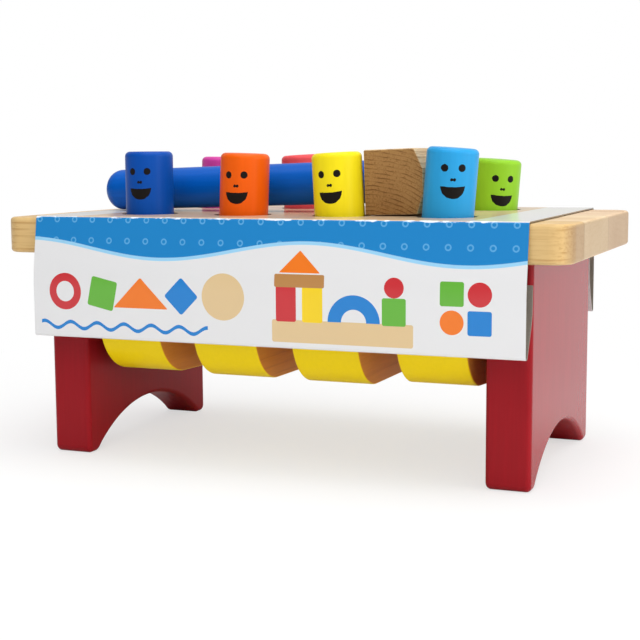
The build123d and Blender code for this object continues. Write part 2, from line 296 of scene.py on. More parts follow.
# %% Dress the mallet's head and the axle's parts
HEAD_RING_PITCH = 2.0 * MM
PITH_BELOW = 0.05                               # the pith lies this far below the block's lower left edge
head_pith = (0.0, head_low.x, PITH_BELOW - head_low.z)
head_wood = lacquered_wood("beech_block_lacquered", "E4C99E", "86623A", ALONG_Y, head_pith, "Y", "C0A680",
                           ring_pitch=HEAD_RING_PITCH, end_lines=1.0)
dress("mallet_head", head_wood)
DOWEL_PITH = (0.0, 0.02, -0.085)
dowel_wood = lacquered_wood("beech_turned", "D9BE92", "BE9C68", ALONG_X, DOWEL_PITH, "X", "E4CFB2")
for name in ("axle", "spacer_1", "spacer_2", "spacer_3", "left_end_spacer", "right_end_spacer",
             "left_leg_dowels", "right_leg_dowels"):
    dress(name, dowel_wood)
print("bare wood on", len(wearing("beech")), "pieces")

# %% [markdown]
# ## Gloss paint on wood
#
# The legs, the pegs, the mallet's handle and the edges of the see-saws are sprayed with toy paint. It is a
# smooth gloss coat, thin enough that the grain below still shows as faint streaks and a slight unevenness
# in the shine. The streaks run along the grain, up the legs and the pegs and along the handle. Plain colour
# would look like plastic, so a stretched noise tints the paint by a few parts in a hundred and raises it a
# little.

# %% Paint a colour with faint grain
STREAK_WIDE = 1.6 * MM      # coarser than real pores, so that the streaks show at this distance
PEEL_SIZE = 2.2 * MM        # the dimples of a sprayed coat
PEEL_WEIGHT = 0.4           # their height, as a share of the streaks' height
NOISE_LOW, NOISE_HIGH = 0.3, 0.7    # most of a noise lies between these
COAT_BUMP, COAT_HIGH = 0.12, 0.04 * MM


def paint_coat(tree, place, colour, grain_scale, streak):
    """The colour and bump of sprayed paint over grain. The grain scale is small along the grain."""
    stretched = add_node(tree, "Mapping", {"Scale": grain_scale}, {0: place.outputs["Object"]})
    grain = add_node(tree, "TexNoise", {"Scale": 1 / STREAK_WIDE, "Detail": 3.0}, {0: stretched})
    peel = add_node(tree, "TexNoise", {"Scale": 1 / PEEL_SIZE, "Detail": 1.0}, {0: place.outputs["Object"]})
    shade = add_node(tree, "MapRange", {"From Min": NOISE_LOW, "From Max": NOISE_HIGH,
                                        "To Min": 1.0 - streak, "To Max": 1.0 + streak},
                     {0: grain.outputs["Fac"]})
    tinted = add_node(tree, "VectorMath", {"operation": "SCALE", 0: paint(colour)[:3]}, {"Scale": shade})
    both = add_node(tree, "Math", {"operation": "MULTIPLY_ADD", 1: PEEL_WEIGHT},
                    {0: peel.outputs["Fac"], 2: grain.outputs["Fac"]})
    raised = add_node(tree, "Bump", {"Strength": COAT_BUMP, "Distance": COAT_HIGH}, {"Height": both})
    return tinted.outputs[0], raised.outputs[0]


print("streaks in mm:", STREAK_WIDE / MM)

# %% Make a gloss paint
PAINT_ROUGH, PAINT_IOR, PAINT_SHINE = 0.34, 1.5, 0.15
SPRAY_STREAK = 0.06
SQUARE_FROM, SQUARE_TO = 0.3, 0.9       # how squarely a face looks to one side as its roughness changes


def gloss_paint(name, colour, grain_scale, shine=PAINT_SHINE, by_side=None):
    """Sprayed gloss paint. Its roughness can differ on faces that look outwards or inwards."""
    material, tree, output = new_finish(name)
    place = add_node(tree, "TexCoord")
    tinted, raised = paint_coat(tree, place, colour, grain_scale, SPRAY_STREAK)
    coat = add_node(tree, "BsdfPrincipled", {"Roughness": PAINT_ROUGH, "IOR": PAINT_IOR,
                                             "Specular IOR Level": shine},
                    {"Base Color": tinted, "Normal": raised})
    if by_side:
        outer, inner = by_side
        at = add_node(tree, "SeparateXYZ", {}, {0: place.outputs["Object"]})
        facing = add_node(tree, "SeparateXYZ", {}, {0: place.outputs["Normal"]})
        side = add_node(tree, "Math", {"operation": "SIGN"}, {0: at.outputs["X"]})
        outward = add_node(tree, "Math", {"operation": "MULTIPLY"},
                           {0: side, 1: facing.outputs["X"]}).outputs[0]
        rough = add_node(tree, "MapRange", {"From Min": SQUARE_FROM, "From Max": SQUARE_TO,
                                            "To Min": PAINT_ROUGH, "To Max": outer}, {0: outward})
        rough = add_node(tree, "MapRange", {"From Min": -SQUARE_FROM, "From Max": -SQUARE_TO,
                                            "To Max": inner}, {0: outward, "To Min": rough})
        tree.links.new(rough.outputs[0], coat.inputs["Roughness"])
    tree.links.new(coat.outputs[0], output.inputs[0])
    return material


print("paint's IOR:", PAINT_IOR, "roughness:", PAINT_ROUGH)

# %% [markdown]
# The legs' outer faces are the glossiest, and their inner faces have a thin, duller coat.

# %% Paint the legs and the handle
UPRIGHT = (1.0, 1.0, 0.05)
LENGTHWISE = (0.05, 1.0, 1.0)
LEG_SHINE = 0.17
LEG_OUTER_ROUGH, LEG_INNER_ROUGH = 0.24, 0.50
leg_paint = gloss_paint("leg_paint_red", "980E1A", UPRIGHT, LEG_SHINE, (LEG_OUTER_ROUGH, LEG_INNER_ROUGH))
for name in ("left_leg", "right_leg"):
    dress(name, leg_paint)
dress("mallet_handle", gloss_paint("handle_paint_blue", "0059BA", LENGTHWISE))
print("painted so far:", wearing("paint"))

# %% [markdown]
# ## The see-saws
#
# Each see-saw is sawn from a board, and its edge is rolled with yellow paint all the way round, while the
# two flat sides stay bare. Their deep orange holds painted light as well as the wood's own tone: a painted
# glow of yellow light bounced from the neighbouring see-saws. Two materials on one piece would need its
# faces sorted. The paint stops at the corner, so one finish that is chosen by which way the surface faces
# does the same.

# %% Dress the see-saws
SAW_PITH = (0.0, 0.0, -0.06)
SAW_LATE_FROM, SAW_LATE_DARK, SAW_PORE_DARK = 0.72, 0.35, 0.5
AROUND_THE_EDGE = (1.0, 0.06, 1.0)
EDGE_STREAK = 0.015
EDGE_ROUGH, SIDE_ROUGH = 0.33, 0.5
SIDE_FACING = 0.8           # a face that looks this squarely along X is a flat side of the board


def see_saw_finish(name):
    """Yellow paint on the edge of a board and bare lacquered wood on its two sides, tinted orange with
    painted light bounced from the yellow neighbours.
    """
    material, tree, output = new_finish(name)
    field, rings, pores, place = wood_figure(tree, ALONG_Y, SAW_PITH)
    late = add_node(tree, "MapRange", {"From Min": SAW_LATE_FROM, "From Max": LATE_TO,
                                       "To Max": SAW_LATE_DARK}, {0: rings})
    marks = add_node(tree, "Math", {"operation": "MULTIPLY_ADD", 1: SAW_PORE_DARK, "use_clamp": True},
                     {0: pores, 2: late})
    # the bare sides' two orange colours are the wood's tone plus painted bounce light, a glow of yellow
    # light reflected from the neighbouring see-saws
    bare = add_node(tree, "Mix", {"data_type": "RGBA", 6: paint("F2A23C"), 7: paint("D0802A")}, {0: marks})
    painted, raised = paint_coat(tree, place, "FADB10", AROUND_THE_EDGE, EDGE_STREAK)
    facing = add_node(tree, "SeparateXYZ", {}, {0: place.outputs["Normal"]})
    side = add_node(tree, "Math", {"operation": "ABSOLUTE"}, {0: facing.outputs["X"]})
    is_side = add_node(tree, "Math", {"operation": "GREATER_THAN", 1: SIDE_FACING}, {0: side})
    colour = add_node(tree, "Mix", {"data_type": "RGBA"}, {0: is_side, 6: painted, 7: bare.outputs[2]})
    rough = add_node(tree, "MapRange", {"To Min": EDGE_ROUGH, "To Max": SIDE_ROUGH}, {0: is_side})
    coat = add_node(tree, "BsdfPrincipled", {"IOR": PAINT_IOR, "Specular IOR Level": PAINT_SHINE},
                    {"Base Color": colour.outputs[2], "Roughness": rough, "Normal": raised})
    tree.links.new(coat.outputs[0], output.inputs[0])
    return material


see_saw_paint = see_saw_finish("see_saw_edge_paint_yellow")
for number in range(1, 5):
    dress(f"rocker_{number}", see_saw_paint)
print("see-saws:", wearing("see_saw"))

# %% [markdown]
# ## The pegs and their printed faces
#
# Each peg is turned, sprayed and then printed by a rubber pad with a simple smiling face: two round eyes, a
# dash for a nose and an open mouth like half a moon. The ink is flat, so it is a part of the paint's
# pattern and not a shape. The face is drawn on the cylinder unrolled: the angle round the peg gives the
# place across, and the height gives the place up. A fine noise shakes the ink's edge, as the pad's soft
# rubber does.

# %% Draw a face
EYE_SIZE = 1.75 * MM
EYE_PLACE = (4.05 * MM, -9.8 * MM)      # across and up from the middle of the peg's top edge
NOSE_SIZE = 0.72 * MM
NOSE_PLACE = (0.62 * MM, -15.1 * MM)
MOUTH_TOP = -18.0 * MM
MOUTH_SIZE = (5.8 * MM, 5.75 * MM)
LIP_SAG = 0.06                          # the dip of the upper lip, as a share of the mouth's size
INK_SHAKE_SIZE = 1.4 * MM
INK_SHAKE = 0.25 * MM


def face_ink(tree, unrolled):
    """1 where the black ink of a face is, for a place given from the middle of the peg's top edge."""
    wobble = add_node(tree, "TexNoise", {"Scale": 1 / INK_SHAKE_SIZE, "Detail": 1.0}, {0: unrolled})
    shaken = add_node(tree, "VectorMath", {"operation": "MULTIPLY_ADD", 1: (2 * INK_SHAKE,) * 3,
                                           2: (-INK_SHAKE,) * 3}, {0: wobble.outputs["Color"]})
    shaken = add_node(tree, "VectorMath", {"operation": "ADD"}, {0: unrolled, 1: shaken})
    flat = add_node(tree, "VectorMath", {"operation": "MULTIPLY", 1: (1.0, 0.0, 1.0)}, {0: shaken})
    mirrored = add_node(tree, "VectorMath", {"operation": "ABSOLUTE"}, {0: flat})
    dots = []
    for (across, up), size in ((EYE_PLACE, EYE_SIZE), (NOSE_PLACE, NOSE_SIZE)):
        away = add_node(tree, "VectorMath", {"operation": "DISTANCE", 1: (across, 0.0, -up)}, {0: mirrored})
        dots.append(add_node(tree, "Math", {"operation": "LESS_THAN", 1: size}, {0: away.outputs["Value"]}))
    from_mouth = add_node(tree, "VectorMath", {"operation": "SUBTRACT", 1: (0.0, 0.0, MOUTH_TOP)},
                          {0: flat})
    shares = add_node(tree, "VectorMath", {"operation": "DIVIDE", 1: (MOUTH_SIZE[0], 1.0, MOUTH_SIZE[1])},
                      {0: from_mouth})
    away = add_node(tree, "VectorMath", {"operation": "LENGTH"}, {0: shares})
    inside = add_node(tree, "Math", {"operation": "LESS_THAN", 1: 1.0}, {0: away.outputs["Value"]})
    parts = add_node(tree, "SeparateXYZ", {}, {0: shares})
    lip = add_node(tree, "Math", {"operation": "MULTIPLY"}, {0: parts.outputs["X"], 1: parts.outputs["X"]})
    lip = add_node(tree, "Math", {"operation": "MULTIPLY_ADD", 1: LIP_SAG, 2: -LIP_SAG}, {0: lip})
    below = add_node(tree, "Math", {"operation": "LESS_THAN"}, {0: parts.outputs["Z"], 1: lip})
    mouth = add_node(tree, "Math", {"operation": "MULTIPLY"}, {0: inside, 1: below})
    ink = add_node(tree, "Math", {"operation": "MAXIMUM"}, {0: dots[0], 1: dots[1]})
    return add_node(tree, "Math", {"operation": "MAXIMUM"}, {0: ink, 1: mouth}).outputs[0]


print("mouth in mm:", round(2 * MOUTH_SIZE[0] / MM, 1), "wide,", round(MOUTH_SIZE[1] / MM, 2), "high")

# %% [markdown]
# A mapping of the texture kind takes a point from the room into the peg's own frame: first to the peg's
# foot, then upright, then turned so that the face looks along -Y. There the angle round the axis is the arc
# tangent of X over -Y. The pad print is duller than the paint, so the roughness follows the ink.

# %% Paint one peg
INK_ROUGH = 0.5
PEG_STREAK = 0.02


def peg_finish(name, colour, foot, lean, face_turn, top, tilt):
    """Paint with a printed face for a peg that stands on foot, leans to +X and has turned by face_turn."""
    material, tree, output = new_finish(name)
    place = add_node(tree, "TexCoord")
    stand = Matrix.Rotation(lean, 3, "Y") @ Matrix.Rotation(face_turn, 3, "Z")
    own = add_node(tree, "Mapping", {"vector_type": "TEXTURE", "Location": foot,
                                     "Rotation": stand.to_euler("XYZ")}, {0: place.outputs["Object"]})
    parts = add_node(tree, "SeparateXYZ", {}, {0: own})
    forward = add_node(tree, "Math", {"operation": "MULTIPLY", 1: -1.0}, {0: parts.outputs["Y"]})
    angle = add_node(tree, "Math", {"operation": "ARCTAN2"}, {0: parts.outputs["X"], 1: forward})
    across = add_node(tree, "Math", {"operation": "MULTIPLY", 1: PEG_RADIUS}, {0: angle})
    up = add_node(tree, "Math", {"operation": "SUBTRACT", 1: top}, {0: parts.outputs["Z"]})
    sheet = add_node(tree, "CombineXYZ", {}, {"X": across, "Z": up})
    tilted = add_node(tree, "VectorRotate", {"rotation_type": "Y_AXIS", "Center": (0.0, 0.0, MOUTH_TOP),
                                             "Angle": tilt}, {0: sheet})
    ink = face_ink(tree, tilted.outputs[0])
    tinted, raised = paint_coat(tree, place, colour, UPRIGHT, PEG_STREAK)
    printed = add_node(tree, "Mix", {"data_type": "RGBA", 7: paint("15110F")}, {0: ink, 6: tinted})
    rough = add_node(tree, "MapRange", {"To Min": PAINT_ROUGH, "To Max": INK_ROUGH}, {0: ink})
    coat = add_node(tree, "BsdfPrincipled", {"IOR": PAINT_IOR, "Specular IOR Level": PAINT_SHINE},
                    {"Base Color": printed.outputs[2], "Roughness": rough, "Normal": raised})
    tree.links.new(coat.outputs[0], output.inputs[0])
    return material


print("a face wraps round a peg of", 2 * PEG_RADIUS / MM, "mm")

# %% [markdown]
# Each peg has turned in its hole as it likes and some lean, so each has its own angle. The print's height
# is measured from the peg's top edge, which is found from the height of the leaning peg's box.

# %% Dress the pegs
TOP_ROUND = 2.5 * MM
peg_looks = {
    # colour of the peg: paint, see-saw, lean in degrees and shift in mm, turn and tilt of the face in
    # degrees, and how far in mm the print sits above the usual place
    "blue": ("044BA8", 1, 0.0, 0.0, 5.0, 0.5, -0.1),
    "orange": ("EA5E08", 2, 2.5, 0.0, 5.3, 1.8, -0.5),
    "yellow": ("F1DE1A", 3, -3.0, -0.4, 1.1, 1.2, -0.2),
    "sky": ("2C9DDA", 4, 4.5, -0.25, 22.0, 2.6, 0.9),
    "magenta": ("D848A4", 1, 1.5, 0.2, -14.0, 0.0, 0.0),
    "red": ("F4575B", 2, -3.0, -0.4, 20.0, 0.0, 0.0),
    "purple": ("5B2C8F", 3, -1.5, -0.2, -5.0, 0.0, 0.0),
    "green": ("8EC82C", 4, 4.5, -0.25, 31.3, 0.3, 0.3),
}
for colour, (hex_value, see_saw_number, lean, shift, face_turn, tilt, print_up) in peg_looks.items():
    low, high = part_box(pegs[colour])
    saw_low, saw_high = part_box(f"rocker_{see_saw_number}")
    lean = radians(lean)
    foot = Vector(((saw_low.x + saw_high.x) / 2 + shift * MM, (low.y + high.y) / 2, plank_middle))
    side_rise = (PEG_RADIUS - TOP_ROUND) * abs(sin(lean))
    reach = (high.z - plank_middle - side_rise - TOP_ROUND) / cos(lean) + TOP_ROUND
    dress(pegs[colour], peg_finish(f"peg_paint_{colour}", hex_value, foot, lean, radians(face_turn),
                                   reach + print_up * MM, radians(tilt)))
    print(colour, "foot in mm:", [round(v / MM, 1) for v in foot], "top:", round(reach / MM, 1))

# %% [markdown]
# ## The card sleeve
#
# The sleeve is one sheet of white-faced board, printed and varnished outside and grey inside, creased over
# the plank's edges. It gets a plain design of its own: a blue band with pale rings and a wavy edge, and
# building blocks in simple shapes on white.
#
# A picture wrapped on the sheet would need the sheet unfolded. Every printed shape is a distance instead:
# from a middle point, less a half width and a half height, less a corner radius. A disc has no half width,
# and a block has a small corner radius. One table lists the shapes from the bottom up, and a shape that
# comes later lies over those before it.

# %% Lay one printed shape over another
def print_shape(tree, sheet, under, colour, middle, half, corner, turned, keep_above, hollow):
    """Cover what is printed so far with one shape, all in millimetres on the panel, across and up."""
    own = add_node(tree, "Mapping", {"vector_type": "TEXTURE", "Rotation": (0.0, radians(turned), 0.0),
                                     "Location": (middle[0] * MM, 0.0, middle[1] * MM)}, {0: sheet})
    mirrored = add_node(tree, "VectorMath", {"operation": "ABSOLUTE"}, {0: own})
    beyond = add_node(tree, "VectorMath", {"operation": "SUBTRACT", 1: (half[0] * MM, 0.0, half[1] * MM)},
                      {0: mirrored})
    beyond = add_node(tree, "VectorMath", {"operation": "MAXIMUM"}, {0: beyond})
    away = add_node(tree, "VectorMath", {"operation": "LENGTH"}, {0: beyond})
    inside = add_node(tree, "Math", {"operation": "LESS_THAN", 1: corner * MM}, {0: away.outputs["Value"]})
    if hollow is not None:
        core = add_node(tree, "Math", {"operation": "GREATER_THAN", 1: hollow * MM},
                        {0: away.outputs["Value"]})
        inside = add_node(tree, "Math", {"operation": "MULTIPLY"}, {0: inside, 1: core})
    if keep_above is not None:
        parts = add_node(tree, "SeparateXYZ", {}, {0: sheet})
        above = add_node(tree, "Math", {"operation": "GREATER_THAN", 1: keep_above * MM},
                         {0: parts.outputs["Z"]})
        inside = add_node(tree, "Math", {"operation": "MULTIPLY"}, {0: inside, 1: above})
    return add_node(tree, "Mix", {"data_type": "RGBA", 7: paint(colour)}, {0: inside, 6: under}).outputs[2]


# %% List the printed shapes
RED, ORANGE, YELLOW, GREEN, BLUE = "C8343A", "EE7A26", "F2CF1F", "66B13E", "1F7FCC"
TAN, BROWN = "DDC193", "B98650"
panel_shapes = [
    # colour, middle, half sizes, corner, turned in degrees, kept above, hollow inside of
    (RED, (-104, 85), (0, 0), 9.0, 0, None, 5.0),
    (GREEN, (-83, 84.5), (6.0, 6.0), 1.2, 12, None, None),
    (ORANGE, (-62, 78), (9.5, 9.5), 1.0, 45, 78.0, None),
    (BLUE, (-40, 84.5), (5.2, 5.2), 1.2, 45, None, None),
    (TAN, (-18, 85), (0, 0), 11.0, 0, None, None),
    (TAN, (41, 70.5), (33, 4.2), 1.0, 0, None, None),
    (RED, (14, 83), (4.0, 7.2), 1.0, 0, None, None),
    (YELLOW, (27, 83), (4.0, 7.2), 1.0, 0, None, None),
    (BLUE, (47, 75.5), (0, 0), 12.5, 0, 75.5, 6.0),
    (GREEN, (66, 81), (4.6, 5.2), 1.0, 0, None, None),
    (BROWN, (20.5, 93.6), (11.5, 2.2), 0.8, 0, None, None),
    (ORANGE, (20.5, 97.2), (6.6, 6.6), 0.6, 45, 97.2, None),
    (RED, (66, 91.8), (0, 0), 4.6, 0, None, None),
    (GREEN, (92.5, 90), (4.4, 4.4), 1.0, 0, None, None),
    (RED, (105, 90), (0, 0), 5.4, 0, None, None),
    (ORANGE, (92.5, 77.5), (0, 0), 5.4, 0, None, None),
    (BLUE, (105, 77.5), (4.4, 4.4), 1.0, 0, None, None),
]
print("printed shapes:", len(panel_shapes))

# %% [markdown]
# Below the shapes on the left runs a thin blue line like water. It is a sine wave: the print is blue where
# the height differs from the wave's by less than half the line's thickness.

# %% Print the wavy line
LINE_UP, LINE_SWING, LINE_WAVE = 68.5 * MM, 1.6 * MM, 15 * MM
LINE_HALF_THICK = 0.9 * MM
LINE_MIDDLE, LINE_HALF_LONG = -72 * MM, 46 * MM


def print_wavy_line(tree, at, under):
    """Cover what is printed so far with the thin wavy line."""
    phase = add_node(tree, "Math", {"operation": "MULTIPLY", 1: FULL_TURN / LINE_WAVE},
                     {0: at.outputs["X"]})
    line = add_node(tree, "Math", {"operation": "SINE"}, {0: phase})
    line = add_node(tree, "Math", {"operation": "MULTIPLY_ADD", 1: LINE_SWING, 2: LINE_UP}, {0: line})
    off = add_node(tree, "Math", {"operation": "SUBTRACT"}, {0: at.outputs["Z"], 1: line})
    off = add_node(tree, "Math", {"operation": "ABSOLUTE"}, {0: off})
    on_line = add_node(tree, "Math", {"operation": "LESS_THAN", 1: LINE_HALF_THICK}, {0: off})
    along = add_node(tree, "Math", {"operation": "SUBTRACT", 1: LINE_MIDDLE}, {0: at.outputs["X"]})
    along = add_node(tree, "Math", {"operation": "ABSOLUTE"}, {0: along})
    within = add_node(tree, "Math", {"operation": "LESS_THAN", 1: LINE_HALF_LONG}, {0: along})
    on_line = add_node(tree, "Math", {"operation": "MULTIPLY"}, {0: on_line, 1: within})
    return add_node(tree, "Mix", {"data_type": "RGBA", 7: paint(BLUE)}, {0: on_line, 6: under}).outputs[2]


print("wavy line in mm:", round(2 * LINE_HALF_LONG / MM), "long")

# %% [markdown]
# The blue band comes over the crease from the top and ends in a wavy edge with a pale line below it. Its
# rings come from one tile that is wrapped over the whole sheet.

# %% Print the blue band
BAND_UP, BAND_SWING, BAND_WAVE, BAND_PHASE = 107 * MM, 4.5 * MM, 150 * MM, 0.6
PALE_LINE_THICK = 1.6 * MM
RING_TILE_HALF = 5 * MM
RING_RADIUS, RING_HALF_THICK = 1.2 * MM, 0.35 * MM


def print_blue_band(tree, sheet, at, under):
    """Cover what is printed so far with the band, its rings and the pale line at its edge."""
    wave = add_node(tree, "Math", {"operation": "MULTIPLY_ADD", 1: FULL_TURN / BAND_WAVE, 2: BAND_PHASE},
                    {0: at.outputs["X"]})
    wave = add_node(tree, "Math", {"operation": "SINE"}, {0: wave})
    edge = add_node(tree, "Math", {"operation": "MULTIPLY_ADD", 1: BAND_SWING, 2: BAND_UP}, {0: wave})
    over = add_node(tree, "Math", {"operation": "SUBTRACT"}, {0: at.outputs["Z"], 1: edge})
    in_line = add_node(tree, "Math", {"operation": "GREATER_THAN", 1: -PALE_LINE_THICK}, {0: over})
    in_band = add_node(tree, "Math", {"operation": "GREATER_THAN", 1: 0.0}, {0: over})
    tile = add_node(tree, "VectorMath", {"operation": "WRAP", 1: (RING_TILE_HALF,) * 3,
                                         2: (-RING_TILE_HALF,) * 3}, {0: sheet})
    off = add_node(tree, "VectorMath", {"operation": "LENGTH"}, {0: tile})
    off = add_node(tree, "Math", {"operation": "SUBTRACT", 1: RING_RADIUS}, {0: off.outputs["Value"]})
    off = add_node(tree, "Math", {"operation": "ABSOLUTE"}, {0: off})
    on_ring = add_node(tree, "Math", {"operation": "LESS_THAN", 1: RING_HALF_THICK}, {0: off})
    band = add_node(tree, "Mix", {"data_type": "RGBA", 6: paint("2282C4"), 7: paint("5CA6D8")},
                    {0: on_ring})
    under = add_node(tree, "Mix", {"data_type": "RGBA", 7: paint("9AD0F0")},
                     {0: in_line, 6: under}).outputs[2]
    return add_node(tree, "Mix", {"data_type": "RGBA"},
                    {0: in_band, 6: under, 7: band.outputs[2]}).outputs[2]


print("rings in mm:", round(2 * RING_TILE_HALF / MM), "apart")

# %% [markdown]
# Between the rows the top is printed in the colour of plain wood, with a pale strip at each end. Where the
# sheet is creased, the varnish has cracked and the white board shows as small flecks.

# %% Print the top and wear its creases
END_STRIP_FROM = 99 * MM
TOP_GRAIN, TOP_STRETCH = 30 * MM, (0.2, 3.0, 1.0)
CREASE_DEEP, CREASE_WIDE = 2.8 * MM, 3.4 * MM       # how far below and inside the crease the wear reaches
FLECK_SIZE, FLECK_STRETCH = 3 * MM, (0.45, 1.0, 1.0)
WORN_FROM, WORN_TO = 0.41, 0.47                     # how strong the wear is where the print starts to go
TOP_FACING = 0.75                                   # a surface that looks up this squarely is the flat top


def print_top(tree, place, at, facing, under):
    """Cover what is printed so far on the sheet's flat top."""
    stretched = add_node(tree, "Mapping", {"Scale": TOP_STRETCH}, {0: place.outputs["Object"]})
    grain = add_node(tree, "TexNoise", {"Scale": 1 / TOP_GRAIN, "Detail": 4.0}, {0: stretched})
    field = add_node(tree, "Mix", {"data_type": "RGBA", 6: paint("E4CDAE"), 7: paint("CBA985")},
                     {0: grain.outputs["Fac"]})
    far_out = add_node(tree, "Math", {"operation": "ABSOLUTE"}, {0: at.outputs["X"]})
    end_strip = add_node(tree, "Math", {"operation": "GREATER_THAN", 1: END_STRIP_FROM}, {0: far_out})
    top = add_node(tree, "Mix", {"data_type": "RGBA", 7: paint("DDDBD7")},
                   {0: end_strip, 6: field.outputs[2]})
    on_top = add_node(tree, "Math", {"operation": "GREATER_THAN", 1: TOP_FACING},
                      {0: facing.outputs["Z"]})
    return add_node(tree, "Mix", {"data_type": "RGBA"}, {0: on_top, 6: under, 7: top.outputs[2]}).outputs[2]


def wear_creases(tree, place, at, depth, under):
    """Crack the varnish along the creases over the plank's edges."""
    near_top = add_node(tree, "MapRange", {"From Min": card_high.z - CREASE_DEEP, "From Max": card_high.z},
                        {0: at.outputs["Z"]})
    near_side = add_node(tree, "MapRange", {"From Min": crease_y - CREASE_WIDE, "From Max": crease_y},
                         {0: depth})
    crease = add_node(tree, "Math", {"operation": "MULTIPLY"}, {0: near_top, 1: near_side})
    along = add_node(tree, "Mapping", {"Scale": FLECK_STRETCH}, {0: place.outputs["Object"]})
    flecks = add_node(tree, "TexNoise", {"Scale": 1 / FLECK_SIZE, "Detail": 4.0}, {0: along})
    worn = add_node(tree, "Math", {"operation": "MULTIPLY"}, {0: crease, 1: flecks.outputs["Fac"]})
    worn = add_node(tree, "MapRange", {"From Min": WORN_FROM, "From Max": WORN_TO}, {0: worn})
    return add_node(tree, "Mix", {"data_type": "RGBA", 7: paint("E9F1F8")}, {0: worn, 6: under}).outputs[2]


print("creases in mm from the middle:", round(crease_y / MM, 1))

# %% [markdown]
# The grey unprinted side faces the wood under the top, faces inwards behind the hanging panels and outwards
# on the hems, which are turned back inside them. So it is told by three things: which way the surface
# faces, whether it lies on the bowed panel or inside it, and how high it is.

# %% Find the unprinted side
FACING_AWAY = 0.3           # a surface that leans at least this much one way counts as facing it
PANEL_THICK = 1.1 * MM      # a little more than the sheet, so that its inner face is still on the panel
TOP_BAND, FOLD_BAND = 5 * MM, 40 * MM


def find_unprinted(tree, at, facing, depth):
    """1 on the grey side of the sheet, 0 on its printed side."""
    side = add_node(tree, "Math", {"operation": "SIGN"}, {0: at.outputs["Y"]})
    outward = add_node(tree, "Math", {"operation": "MULTIPLY"}, {0: facing.outputs["Y"], 1: side})
    to_outside = add_node(tree, "Math", {"operation": "GREATER_THAN", 1: FACING_AWAY}, {0: outward})
    to_inside = add_node(tree, "Math", {"operation": "LESS_THAN", 1: -FACING_AWAY}, {0: outward})
    bowed = add_node(tree, "MapRange", {"From Min": bow_z, "From Max": card_high.z, "To Min": card_high.y,
                                        "To Max": crease_y}, {0: at.outputs["Z"]})
    short = add_node(tree, "Math", {"operation": "SUBTRACT"}, {0: bowed, 1: depth})
    on_panel = add_node(tree, "Math", {"operation": "LESS_THAN", 1: PANEL_THICK}, {0: short})
    off_panel = add_node(tree, "Math", {"operation": "SUBTRACT", 0: 1.0}, {1: on_panel})
    panel_back = add_node(tree, "Math", {"operation": "MULTIPLY"}, {0: on_panel, 1: to_inside})
    hem_back = add_node(tree, "Math", {"operation": "MULTIPLY"}, {0: off_panel, 1: to_outside})
    is_top = add_node(tree, "Math", {"operation": "GREATER_THAN", 1: card_high.z - TOP_BAND},
                      {0: at.outputs["Z"]})
    down = add_node(tree, "Math", {"operation": "LESS_THAN", 1: -FACING_AWAY}, {0: facing.outputs["Z"]})
    top_back = add_node(tree, "Math", {"operation": "MULTIPLY"}, {0: is_top, 1: down})
    is_low = add_node(tree, "Math", {"operation": "LESS_THAN", 1: card_high.z - FOLD_BAND},
                      {0: at.outputs["Z"]})
    up = add_node(tree, "Math", {"operation": "GREATER_THAN", 1: FACING_AWAY}, {0: facing.outputs["Z"]})
    fold_back = add_node(tree, "Math", {"operation": "MULTIPLY"}, {0: is_low, 1: up})
    unprinted = panel_back
    for part in (hem_back, top_back, fold_back):
        unprinted = add_node(tree, "Math", {"operation": "MAXIMUM"}, {0: unprinted, 1: part})
    return unprinted.outputs[0]


print("the panels hang straight below", round(bow_z / MM, 1), "mm")

# %% [markdown]
# The board itself is pressed pulp: fine brownish fibres, and dull. Its cut edges are painted a darker
# brown, partly the board's own edge and partly painted shade: the dark shadow line in the gap under the
# sheet's edge. The real fibres are too fine to show, so they are drawn 0.8 mm long. The varnish over the
# print is glossy, and broad shallow waves in the sheet bend its reflections.

# %% Print the card
FIBRE_SIZE = 0.8 * MM
WAVE_SIZE, WAVE_HIGH, WAVE_BUMP = 28 * MM, 0.25 * MM, 0.5
VARNISH_ROUGH, BOARD_ROUGH = 0.20, 0.85
VARNISH_IOR, VARNISH_SHINE = 1.5, 0.4
CUT_FACING = 0.7            # a surface that looks this squarely sideways is a cut edge


